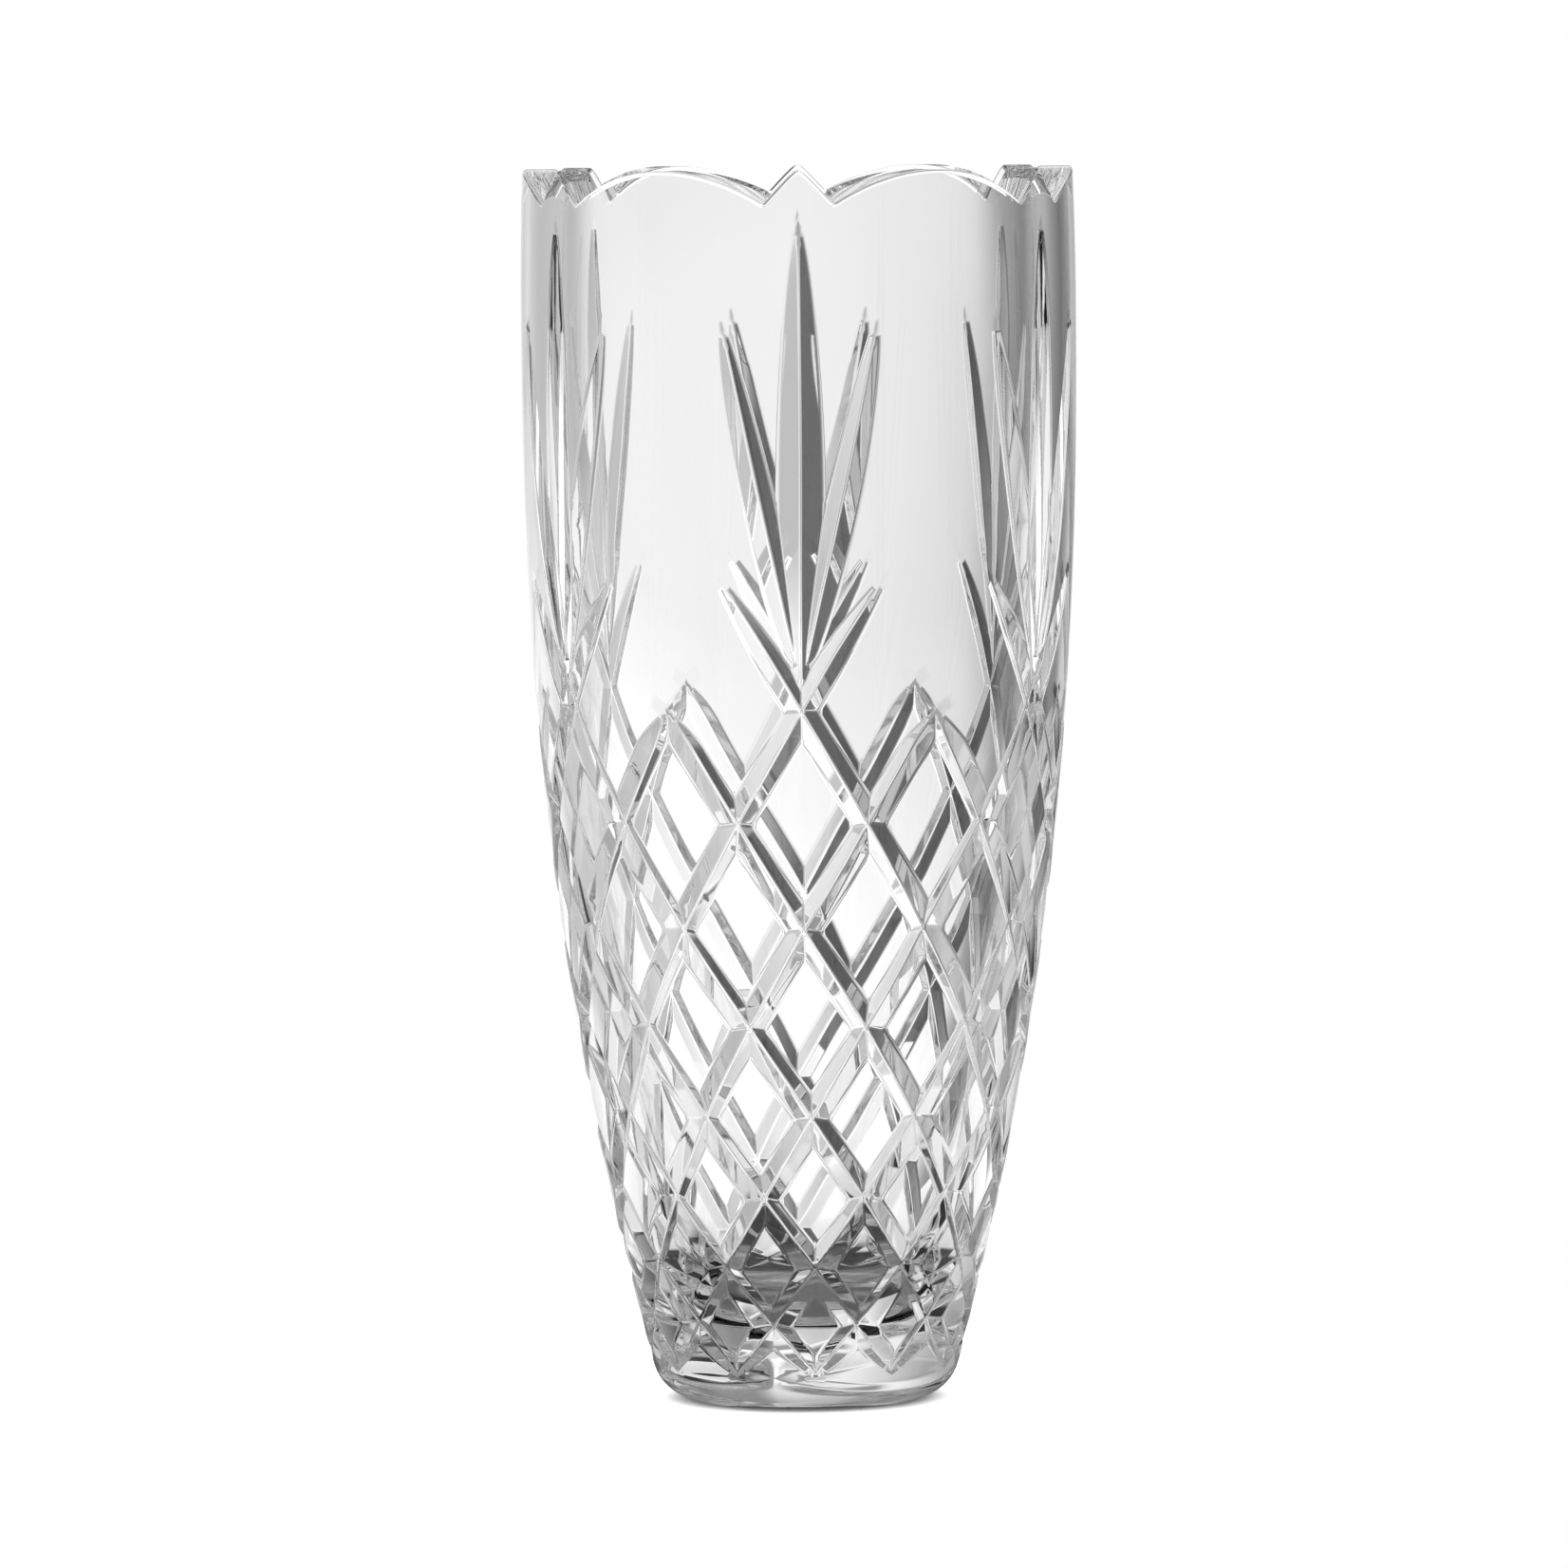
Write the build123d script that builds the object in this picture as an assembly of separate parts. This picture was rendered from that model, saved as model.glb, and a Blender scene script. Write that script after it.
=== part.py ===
from build123d import *
import os
from math import cos, pi, radians, sin, sqrt, tan

# A cut crystal vase: one thick-walled piece of clear glass on a flat foot ring.
#
# The blank is a turned barrel form that narrows towards the foot. Its rim is cut into six wide
# scallops with a small pointed tooth between each two. V-shaped wheel cuts cover the wall: a band
# of crossing diamond cuts from the foot to mid-height, and above it six fans of tapering leaves.
#
# Frame: millimetres, +Z up, origin at the centre of the foot ring. Angles round the vase are in
# degrees from the front (-Y) towards +X, and one fan stands at the front.

# Blank
HEIGHT = 254.0  # foot to the tops of the scallops and teeth
BELLY_R = 57.15  # widest outside radius
BELLY_Z = 224.0  # height of the widest place
TAPER = 27.6  # radius lost from the belly down to the foot
TAPER_POWER = 2.3  # how late the wall starts to pull in
RIM_DRAW = 0.6  # radius lost from the belly up to the rim
RIM_WALL = 7.5  # wall thickness at the rim
FOOT_WALL = 11.4  # wall thickness, carried down to the foot
FLOOR_Z = 18.5  # inside floor, above the foot
FLOOR_CORNER_R = 22.0  # rounding where the inside wall meets the floor
FOOT_CORNER_R = 9.8  # rounding where the outside wall meets the foot
RECESS_R = 16.0  # dished middle of the underside
RECESS_DEPTH = 1.2

# Rim
SCALLOPS = 6
TOOTH_HALF_ANGLE = 6.6  # degrees from a tooth's tip to the notch beside it
NOTCH_DEPTH = 7.2
RIM_BAND = 12.0  # height of the band that the rim shape is cut in
CLEAR = 10.0  # how far cutting solids reach past the glass

# Wheel cuts
CUT_SLOPE = 33.0  # tilt of each side of a V cut, in degrees from the surface
CUTTER_HEIGHT = 7.0  # height of the V cutter, which stands well clear of the wall
LIFT = 0.6  # how far the cutter is off the glass at either end of a stroke

# Diamond band
LINES = 12  # cuts of each hand
ROW_Z = [144.9, 121.9, 100.0, 80.3, 61.4, 44.6, 30.0, 18.3, 8.0]  # where cuts cross, top to bottom
ROW_TURN = 15.0  # degrees that a cut moves round from one row to the next
LINE_HALF_WIDTH = 2.95
RUN_IN = 1.5  # how far beyond the top crossing a cut between two fans starts, in millimetres
RUN_OUT = 1.5  # how far below the last crossing a cut ends
FAINT = 0.3  # share of the full depth where a cut is fading in or out
DRIFT = 3.4  # degrees that the hand-cut band creeps round towards the foot
DRIFT_FROM_Z = 100.0

# Fans
FANS = 6
LEAF_TOP_Z = 244.0  # the middle leaf
LEAF_ROOT_Z = 147.0
LEAF_HALF_WIDTH = 4.6
LEAF_WIDEST = 0.6  # where a leaf is widest, as a share of its length from the top
LEAF_BLUNTNESS = 0.6  # 1 is a fine point, less is blunter
SIDE_LEAF_TOP_Z = 225.0
SIDE_LEAF_ROOT_Z = 150.0
SIDE_LEAF_ANGLE = 16.2
SIDE_LEAF_HALF_WIDTH = 3.35
SIDE_LEAF_BOW = 1.1  # 1 is straight, more bows outwards
SHORT_LEAF_TOP_Z = 175.5
SHORT_LEAF_ANGLE = 19.6
# Each pair is the share of the way up a short leaf and its share of the full depth there
SHORT_LEAF_SWELL = [(1.0, 0.0), (0.88, 0.35), (0.65, 0.8), (0.35, 1.0), (0.0, 1.0)]


def outer_radius(z):
    """The blank's outside radius at height z."""
    if z < BELLY_Z:
        return BELLY_R - TAPER * ((BELLY_Z - z) / BELLY_Z) ** TAPER_POWER
    return BELLY_R - RIM_DRAW * ((z - BELLY_Z) / (HEIGHT - BELLY_Z)) ** 2


def inner_radius(z):
    """The blank's inside radius at height z: the wall thickens towards the foot."""
    return outer_radius(z) - RIM_WALL - (FOOT_WALL - RIM_WALL) * (1 - z / HEIGHT) ** 2


def turned(radius_at, bottom, steps=14):
    """The solid of revolution inside a profile, from height bottom to the rim."""
    heights = [bottom + (HEIGHT - bottom) * i / steps for i in range(steps + 1)]
    wall = Spline([(radius_at(z), 0, z) for z in heights])
    low, high = (0, 0, bottom), (0, 0, HEIGHT)
    outline = [Line(low, wall @ 0), wall, Line(wall @ 1, high), Line(high, low)]
    return revolve(make_face(outline), Axis.Z)


def round_bottom(solid, radius):
    """Round the corner between a turned wall and its flat bottom."""
    corner = solid.edges().filter_by(GeomType.CIRCLE).sort_by(Axis.Z)[0]
    return fillet(corner, radius)


def blank():
    """The uncut vase: the turned outside, the hollow, and the dished underside."""
    outside = round_bottom(turned(outer_radius, 0.0), FOOT_CORNER_R)
    hollow = round_bottom(turned(inner_radius, FLOOR_Z), FLOOR_CORNER_R)
    dish_r = (RECESS_R**2 + RECESS_DEPTH**2) / (2 * RECESS_DEPTH)
    dish = Pos(0, 0, RECESS_DEPTH - dish_r) * Sphere(dish_r)
    return outside - hollow - dish


def facing(angle):
    """An upright plane through the vase's axis that faces out at this angle."""
    out = (sin(radians(angle)), -cos(radians(angle)), 0)
    side = (cos(radians(angle)), sin(radians(angle)), 0)
    return Plane(origin=(0, 0, 0), x_dir=side, z_dir=out)


def scallop_outline():
    """A wide arch whose arc runs through both notches and just touches the full height."""
    notch_angle = 180 / SCALLOPS - TOOTH_HALF_ANGLE
    half_chord = outer_radius(HEIGHT) * sin(radians(notch_angle))
    arc_r = (half_chord**2 + NOTCH_DEPTH**2) / (2 * NOTCH_DEPTH)
    half = sqrt(arc_r**2 - (arc_r - RIM_BAND) ** 2)
    low = HEIGHT - RIM_BAND
    arc = ThreePointArc((-half, low), (0, HEIGHT), (half, low))
    return make_face([arc, Line((half, low), (-half, low))])


def tooth_outline():
    """A triangle whose sides run through both notches and meet at the full height."""
    half_at_notch = outer_radius(HEIGHT) * sin(radians(TOOTH_HALF_ANGLE))
    half = half_at_notch * RIM_BAND / NOTCH_DEPTH
    low = HEIGHT - RIM_BAND
    return make_face(Polyline((-half, low), (0, HEIGHT), (half, low), close=True))


def rim_waste():
    """The glass that is ground away above the scallops and teeth."""
    reach = BELLY_R + CLEAR
    waste = Pos(0, 0, HEIGHT) * Cylinder(reach, 2 * RIM_BAND)
    scallop, tooth = scallop_outline(), tooth_outline()
    pitch = 360 / SCALLOPS
    for i in range(SCALLOPS):
        waste -= extrude(facing(i * pitch) * tooth, reach + CLEAR)
        waste -= extrude(facing((i + 0.5) * pitch) * scallop, reach + CLEAR)
    return waste


def on_wall(angle, z):
    """The point of the outside surface at this angle and height."""
    r = outer_radius(z)
    return Vector(r * sin(radians(angle)), -r * cos(radians(angle)), z)


def out_of_wall(angle, z):
    """The unit normal of the outside surface at this angle and height."""
    slope = outer_radius(z + 0.5) - outer_radius(z - 0.5)
    return Vector(sin(radians(angle)), -cos(radians(angle)), -slope).normalized()


def stroke(stations):
    """The solid that one stroke of the V wheel removes. Each station is (angle, z, depth)."""
    spread = CUTTER_HEIGHT / tan(radians(CUT_SLOPE))
    sections = []
    for i, (angle, z, depth) in enumerate(stations):
        before = stations[max(i - 1, 0)]
        after = stations[min(i + 1, len(stations) - 1)]
        along = on_wall(*after[:2]) - on_wall(*before[:2])
        out = out_of_wall(angle, z)
        side = out.cross(along).normalized() * spread
        tip = on_wall(angle, z) - out * depth
        top = tip + out * CUTTER_HEIGHT
        sections.append(Wire.make_polygon([tip, top + side, top - side]))
    return Solid.make_loft(sections)


def swell(t):
    """A leaf's depth along its length as a share of its full depth: 0 at both ends."""
    share = t / LEAF_WIDEST if t < LEAF_WIDEST else (1 - t) / (1 - LEAF_WIDEST)
    return (share * (2 - share)) ** LEAF_BLUNTNESS


def leaf(middle, lean, top_z, root_z, half_width, steps=10):
    """One tapering leaf. Its root is at the angle middle, and its top leans over by lean."""
    full = half_width * tan(radians(CUT_SLOPE)) + LIFT
    stations = []
    for i in range(steps + 1):
        t = i / steps
        angle = middle + lean * (1 - t**SIDE_LEAF_BOW)
        stations.append((angle, top_z + (root_z - top_z) * t, full * swell(t) - LIFT))
    return stroke(stations)


def drift(z):
    """How far the diamond band has crept round at height z, in degrees."""
    share = max((DRIFT_FROM_Z - z) / DRIFT_FROM_Z, 0.0)
    return DRIFT * sin(share * pi / 2)


def turn_per_height(row):
    """Degrees that a cut turns for each millimetre it goes down, near this row."""
    return ROW_TURN / (ROW_Z[row] - ROW_Z[row + 1])


def line_start(start, hand, depth, under_fan):
    """The stations above the first crossing: a short leaf under a fan, or else a run-in."""
    top = ROW_Z[0]
    if not under_fan:
        turn = hand * RUN_IN * turn_per_height(0)
        return [(start - turn, top + RUN_IN, -LIFT), (start + turn, top - RUN_IN, FAINT * depth)]
    rise = SHORT_LEAF_TOP_Z - top
    stations = []
    for t, share in SHORT_LEAF_SWELL:
        cut = (depth + LIFT) * share - LIFT
        stations.append((start - hand * SHORT_LEAF_ANGLE * t, top + rise * t, cut))
    return stations


def diamond_line(index, hand):
    """One long cut that winds down the wall, to the right (hand 1) or to the left (hand -1)."""
    depth = LINE_HALF_WIDTH * tan(radians(CUT_SLOPE))
    start = index * 360 / LINES
    stations = line_start(start, hand, depth, index % (LINES // FANS) == 0)
    last = len(ROW_Z) - 1
    for half_rows in range(1, 2 * last + 1):
        row = half_rows / 2
        above, below = ROW_Z[(half_rows - 1) // 2], ROW_Z[(half_rows + 1) // 2]
        z = below if row == int(row) else (above + below) / 2
        cut = depth if row < last else FAINT * depth
        stations.append((start + hand * row * ROW_TURN + drift(z), z, cut))
    end_z = ROW_Z[last] - RUN_OUT
    end_turn = last * ROW_TURN + RUN_OUT * turn_per_height(last - 1)
    stations.append((start + hand * end_turn + drift(end_z), end_z, -LIFT))
    return stroke(stations)


def diamond_band():
    """Every crossing cut of the band."""
    return [diamond_line(i, hand) for i in range(LINES) for hand in (1, -1)]


def fan(middle):
    """The three long leaves of one fan."""
    sides = [
        leaf(middle, hand * SIDE_LEAF_ANGLE, SIDE_LEAF_TOP_Z, SIDE_LEAF_ROOT_Z, SIDE_LEAF_HALF_WIDTH)
        for hand in (1, -1)
    ]
    return [leaf(middle, 0.0, LEAF_TOP_Z, LEAF_ROOT_Z, LEAF_HALF_WIDTH)] + sides


def crystal_body():
    """The finished vase."""
    body = blank() - rim_waste()
    cuts = diamond_band()
    for i in range(FANS):
        cuts += fan(i * 360 / FANS)
    return body.cut(*cuts)


os.makedirs("parts", exist_ok=True)
export_step(crystal_body(), "parts/crystal_body.step", write_pcurves=False)
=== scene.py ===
from itertools import combinations
from math import atan2, cos, pi, radians, sin, sqrt, tan

import bpy
import numpy as np
from mathutils import Matrix, Vector
from mathutils.geometry import delaunay_2d_cdt


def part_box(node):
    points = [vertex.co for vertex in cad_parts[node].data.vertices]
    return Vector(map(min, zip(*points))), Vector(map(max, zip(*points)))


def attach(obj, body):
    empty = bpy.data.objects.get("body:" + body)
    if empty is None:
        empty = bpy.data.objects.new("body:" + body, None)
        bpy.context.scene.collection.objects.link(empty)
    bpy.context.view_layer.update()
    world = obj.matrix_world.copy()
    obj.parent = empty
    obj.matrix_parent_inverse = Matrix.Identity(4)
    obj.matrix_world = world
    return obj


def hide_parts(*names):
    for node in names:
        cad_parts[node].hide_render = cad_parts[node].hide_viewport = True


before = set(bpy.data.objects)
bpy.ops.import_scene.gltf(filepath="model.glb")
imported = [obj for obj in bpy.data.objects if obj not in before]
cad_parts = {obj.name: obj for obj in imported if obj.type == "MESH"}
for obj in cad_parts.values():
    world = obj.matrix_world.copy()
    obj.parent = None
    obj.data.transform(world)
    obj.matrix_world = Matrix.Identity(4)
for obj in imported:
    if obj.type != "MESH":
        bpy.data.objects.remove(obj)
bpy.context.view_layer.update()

# A cut crystal vase: one thick piece of clear glass, cut with a V-edged wheel.
#
# The glass is one closed mesh whose lines follow the cuts: the bottom and both edges of every
# stroke, and the ridges where strokes cross. The mesh covers a twelfth of the vase, from the middle
# of a fan to the middle of the next gap, and is mirrored and turned to make the rest.
#
# The cuts are laid out on a drawing, which is the outside unrolled. Its x is DRAW_R times the angle
# from the front (-Y) towards +X, and its y is the height along the wall, stretched so that the
# drawing keeps the angles between lines. Lengths are millimetres until the mesh is written.

# ---------------------------------------------------------------- sizes of the vase

MM = 0.001
_, node_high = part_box("crystal_body")

HEIGHT = node_high[2] / MM
BELLY_R = node_high[0] / MM  # widest outside radius
BELLY_Z = 0.882 * HEIGHT  # height of the widest place
TAPER = 27.6  # radius lost from the belly down to the foot
TAPER_POWER = 2.3  # how late the wall starts to pull in
RIM_DRAW = 0.6  # radius lost from the belly up to the rim
RIM_WALL = 7.5  # wall thickness at the rim
FOOT_WALL = 11.4  # wall thickness, carried down to the foot
FLOOR_Z = 18.5  # inside floor, above the foot
FLOOR_CORNER_R = 22.0  # rounding where the inside wall meets the floor
FOOT_CORNER_R = 9.8  # rounding where the outside wall meets the foot
RECESS_R = 16.0  # dished middle of the underside
RECESS_DEPTH = 1.2
RECESS_EDGE = 0.6  # width of the foot ring's flat edge beside the dish
DISH_SHARES = (0.975, 0.8125, 0.5625, 0.3125, 0.125)  # rings of the dish, as shares of its radius
FLOOR_SHARES = (0.66, 0.33)  # rings of the inside floor, as shares of its flat radius

# rim
TOOTH_HALF_ANGLE = 6.6  # degrees from a tooth's tip to the notch beside it
NOTCH_DEPTH = 7.2
TIP_SOFTNESS = 1.15  # how blunt the tip of a tooth is
NOTCH_SOFTNESS = 0.3
RIM_ROUND = 0.9  # rounding of both edges of the rim

# cuts
CUT_SLOPE = tan(radians(33.0))  # depth gained for each millimetre in from a cut's edge
ROW_Z = [144.9, 121.9, 100.0, 80.3, 61.4, 44.6, 30.0, 18.3, 8.0]  # where cuts cross, top to bottom
ROW_TURN = 15.0  # degrees that a cut moves round from one row to the next
LINE_HALF_WIDTH = 2.95
LINE_BEND = 5  # degree of the curve through the rows
SHORT_LEAF_TOP_Z = 175.5
SHORT_LEAF_ANGLE = 19.6
LEAF_TOP_Z = 244.0  # the middle leaf
LEAF_ROOT_Z = 147.0
LEAF_HALF_WIDTH = 4.6
SIDE_LEAF_TOP_Z = 225.0
SIDE_LEAF_ROOT_Z = 150.0
SIDE_LEAF_ANGLE = 16.2
SIDE_LEAF_HALF_WIDTH = 3.35
SIDE_LEAF_BOW = 1.1  # 1 is straight, more bows outwards
LEAF_WIDEST = 0.6  # where a leaf is widest, as a share of its length from the top
LEAF_BLUNTNESS = 0.6  # 1 is a fine point, less is blunter
LEAF_END_SINK = 0.3  # how far a leaf's half width falls below nothing at its ends
OFF_GLASS = -1.0  # the width of a stroke where the wheel is off the glass
DRIFT = 3.4  # degrees that the hand-cut band creeps round towards the foot
DRIFT_FROM_Z = 100.0

# two heights each: full width up to the first, and no width at the second
BAND_FADE = (ROW_Z[0] - 8.0, ROW_Z[0] + 0.4)
LEAF_FADE = (ROW_Z[0] + 4.0, SHORT_LEAF_TOP_Z)
FOOT_FADE = (ROW_Z[-2] - 3.0, ROW_Z[-1] - 0.8)

# rounding of the creases, as widths on the glass
BOTTOM_ROUND = 0.45
EDGE_ROUND = 0.5
BLEND = EDGE_ROUND * CUT_SLOPE

# small uneven shifts of the cuts
WOBBLE = 0.08
WOBBLE_REPEATS = (1, 2, 3, 5, 8)
WOBBLE_WAVES = (0.02, 0.09)  # radians for each millimetre up the drawing
WOBBLE_SEED = 7

# ---------------------------------------------------------------- sizes of the mesh

COPIES = 12
TWELFTH_ANGLE = 2 * pi / COPIES
DRAW_R = 50.0  # radius at which the drawing has its true size
SECTOR = DRAW_R * TWELFTH_ANGLE  # width of the twelfth on the drawing
PERIOD = 2 * SECTOR  # width that the pattern repeats at

PROFILE_STEP = 0.02  # between points of a turned profile
PAST_RIM = 2.0  # how far the profiles are carried above the rim
FINE_STEP = 0.05  # step in which lengths on the glass are added up
LINE_STEP = 1.15  # between points along a cut
GRID_STEP = 2.7  # between points on the plain outside
SIDE_STEP = 1.7  # between points up the sides of the twelfth
INSIDE_STEP = 4.2  # between points on the inside
BASE_COLUMNS = 9  # faces across the twelfth, from the foot to the middle
ROW_HALF_STEPS = 7  # faces across half of a crossing
GRID_GAP = 1.2  # least distance from a plain point to the lines and the rim
GRID_SIDE_GAP = 1.0
INSIDE_GAP = 2.0
INSIDE_SIDE_GAP = 1.5
RIM_NEAR_STEP = 0.16  # between points on the rim at a tip or a notch
RIM_FAR_STEP = 1.5  # the same at its widest
RIM_STEP_GROWTH = 0.3  # added to the step for each millimetre from a tip or a notch

REPEATS = range(-5, 6)  # repeats of a stroke round the vase that are tried
LINE_MARGIN = 12.0  # how far beside the twelfth a stroke's bottom may be to be drawn
RIDGE_MARGIN = 8.0  # the same for the strokes that make a ridge
RIDGE_FOOT_Y = 0.5  # where the ridges start, above the foot
SHALLOW = 0.02  # a depth that is too small to draw a line for
NARROW = 0.05  # a width that is too small to draw a line for
SLIVER = 1e-6  # a share of a segment, or a difference in depth, that is too small to count
SNAP = 2e-3  # points this close to a side of the twelfth are put on it
WELD = 1e-3  # points this close together become one
TINY = 1e-9  # allowance for rounding errors
NORMAL_STEP = 0.02  # distance over which the surface's slope is measured
RIM_SLOPE_STEP = 1e-4  # radians over which the rim's slope is measured
RIM_SAMPLES = 6001
NOTCH_SEARCH = (0.02, 0.3)  # radians from the tooth's tip between which its notch must be
NOTCH_SAMPLES = 4000
BLOCK = 400  # number of points whose distances are worked out together

# ---------------------------------------------------------------- the turned shape


def outer_radius(z):
    """The outside before it is cut: widest at the belly and pulled in both ways from there."""
    below = np.clip((BELLY_Z - z) / BELLY_Z, 0, None)
    above = np.clip((z - BELLY_Z) / (HEIGHT - BELLY_Z), 0, None)
    return BELLY_R - TAPER * below**TAPER_POWER - RIM_DRAW * above**2


def inner_radius(z):
    """The inside, where the wall gets thicker towards the foot."""
    return outer_radius(z) - RIM_WALL - (FOOT_WALL - RIM_WALL) * (1 - z / HEIGHT) ** 2


class Profile:
    """A turned profile: a corner arc standing on the level floor_z, then a wall.

    r and z are its points, nr and nz its unit normals, and y its heights on the drawing.
    """

    def __init__(self, radius_at, floor_z, corner):
        z = np.arange(floor_z, HEIGHT + PAST_RIM, PROFILE_STEP)
        r = radius_at(z)
        slope = np.gradient(r, z)
        unit = np.sqrt(1 + slope**2)
        normal_r, normal_z = 1 / unit, -slope / unit
        above_arc = (z - corner * normal_z) - (floor_z + corner)
        first = int(np.argmax(above_arc > 0))
        end = atan2(normal_z[first], normal_r[first])
        swing = np.arange(-pi / 2, end, PROFILE_STEP / corner)
        self.floor_r = r[first] - corner * normal_r[first]
        self.r = np.concatenate([self.floor_r + corner * np.cos(swing), r[first:]])
        self.z = np.concatenate([floor_z + corner + corner * np.sin(swing), z[first:]])
        self.nr = np.concatenate([np.cos(swing), normal_r[first:]])
        self.nz = np.concatenate([np.sin(swing), normal_z[first:]])
        stretch = np.hypot(np.diff(self.r), np.diff(self.z)) / ((self.r[1:] + self.r[:-1]) / 2)
        self.y = DRAW_R * np.concatenate([[0], np.cumsum(stretch)])

    def at(self, y):
        """Radius, height and unit normal at drawing height y."""
        return [np.interp(y, self.y, a) for a in (self.r, self.z, self.nr, self.nz)]

    def y_at(self, z):
        """Drawing height at height z."""
        return np.interp(z, self.z, self.y)


OUTSIDE = Profile(outer_radius, 0.0, FOOT_CORNER_R)
INSIDE = Profile(inner_radius, FLOOR_Z, FLOOR_CORNER_R)


def scale_at(y):
    """Millimetres on the glass for each millimetre of the drawing."""
    return np.interp(y, OUTSIDE.y, OUTSIDE.r) / DRAW_R


# ---------------------------------------------------------------- the cuts


def fade(z, full_z, end_z):
    """1 up to full_z, falling to 0 at end_z as a wheel leaves the glass, and below 0 past it."""
    t = np.clip((z - full_z) / (end_z - full_z), 0, None)
    return 1 - t**2


def line_width(top_fade):
    """The half width of a cut of the diamond band, which fades out over the top_fade heights."""
    def width(z):
        top = fade(z, *top_fade)
        foot = fade(-z, -FOOT_FADE[0], -FOOT_FADE[1])
        return np.clip(LINE_HALF_WIDTH * np.minimum(top, foot), OFF_GLASS, None)
    return width


def swell(t):
    """The share of its full width that a leaf has at share t of its length from the top."""
    t = np.clip(t, 0, 1)
    share = np.where(t < LEAF_WIDEST, t / LEAF_WIDEST, (1 - t) / (1 - LEAF_WIDEST))
    return (share * (2 - share)) ** LEAF_BLUNTNESS


def leaf_width(top, root, half_width):
    """The half width of a leaf that runs from its top to its root."""
    def width(z):
        t = (top - z) / (top - root)
        inside = (t > 0) & (t < 1)
        return np.where(inside, (half_width + LEAF_END_SINK) * swell(t) - LEAF_END_SINK, OFF_GLASS)
    return width


def turn_of_line():
    """The angle of a right-hand cut as a smooth function of height, through the rows."""
    z = [SHORT_LEAF_TOP_Z] + ROW_Z
    turn = [-SHORT_LEAF_ANGLE] + [ROW_TURN * i for i in range(len(ROW_Z))]
    return np.polynomial.Polynomial.fit(z, turn, LINE_BEND)


def middle_turn(z):
    """The middle leaf stands upright at the front."""
    return 0 * z


def side_turn(z):
    """A side leaf leans out from the fan's root, bowed a little."""
    t = np.clip((SIDE_LEAF_TOP_Z - z) / (SIDE_LEAF_TOP_Z - SIDE_LEAF_ROOT_Z), 0, 1)
    return SIDE_LEAF_ANGLE * (1 - t**SIDE_LEAF_BOW)


class Stroke:
    """One wheel cut: where its bottom runs and how wide it is, at each drawing height."""

    def __init__(self, name, turn, width, mirror=False, offset=0.0):
        self.name = name
        sign = -1.0 if mirror else 1.0
        self.x = sign * DRAW_R * np.radians(turn(OUTSIDE.z)) + offset
        self.half_width = width(OUTSIDE.z)
        lean = np.gradient(self.x, OUTSIDE.y)
        self.cos_lean = 1 / np.sqrt(1 + lean**2)

    def at(self, y):
        """The x of the bottom, the half width and the cosine of the lean at drawing height y."""
        return [np.interp(y, OUTSIDE.y, a) for a in (self.x, self.half_width, self.cos_lean)]

    def across(self, x, y):
        """Signed distance on the glass from the nearest repeat's bottom, and the half width."""
        bottom, half_width, cos_lean = self.at(y)
        dx = x - bottom
        dx = dx - PERIOD * np.round(dx / PERIOD)
        return dx * cos_lean * scale_at(y), half_width


def all_strokes():
    """The middle leaf, and both hands of the cuts that repeat beside it."""
    turn = turn_of_line()
    middle_width = leaf_width(LEAF_TOP_Z, LEAF_ROOT_Z, LEAF_HALF_WIDTH)
    side_width = leaf_width(SIDE_LEAF_TOP_Z, SIDE_LEAF_ROOT_Z, SIDE_LEAF_HALF_WIDTH)
    strokes = [Stroke("middle", middle_turn, middle_width)]
    for mirror in (False, True):
        strokes.append(Stroke("long", turn, line_width(LEAF_FADE), mirror))
        strokes.append(Stroke("short", turn, line_width(BAND_FADE), mirror, SECTOR))
        strokes.append(Stroke("side", side_turn, side_width, mirror))
    return strokes


STROKES = all_strokes()


def smooth_max(a, b, k):
    """The larger of two values, rounded off where they are within k of each other."""
    h = np.clip(k - np.abs(a - b), 0, None)
    return np.maximum(a, b) + h * h / (4 * k)


def sharp_depths(x, y):
    """How deep each stroke alone would cut here, sharp-edged, as an array by stroke."""
    depths = []
    for stroke in STROKES:
        across, half_width = stroke.across(x, y)
        depths.append(CUT_SLOPE * (half_width - np.abs(across)))
    return np.array(depths)


def depth(x, y):
    """How much glass is cut away here, with its creases softened."""
    total = np.zeros_like(x)
    for stroke in STROKES:
        across, half_width = stroke.across(x, y)
        from_bottom = smooth_max(across, -across, 2 * BOTTOM_ROUND)
        total = smooth_max(total, CUT_SLOPE * (half_width - from_bottom), BLEND)
    return total


# ---------------------------------------------------------------- lines of the mesh


def even_heights(low, high):
    """Drawing heights about LINE_STEP apart on the glass."""
    y = np.arange(low, high, FINE_STEP)
    count = np.cumsum(FINE_STEP / (LINE_STEP / scale_at(y)))
    n = max(int(round(count[-1])), 2)
    return np.interp(np.linspace(count[0], count[-1], n + 1), count, y)


def clipped(a, b):
    """The part of the segment from a to b that is inside the twelfth, as a list of one or none."""
    (x0, y0), (x1, y1) = a, b
    dx, dy = x1 - x0, y1 - y0
    start, end = 0.0, 1.0
    for outwards, room in ((-dx, x0), (dx, SECTOR - x0)):
        if abs(outwards) < TINY:
            if room < -TINY:
                return []
        elif outwards < 0:
            start = max(start, room / outwards)
        else:
            end = min(end, room / outwards)
    if end - start < SLIVER:
        return []
    return [((x0 + dx * start, y0 + dy * start), (x0 + dx * end, y0 + dy * end))]


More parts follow.
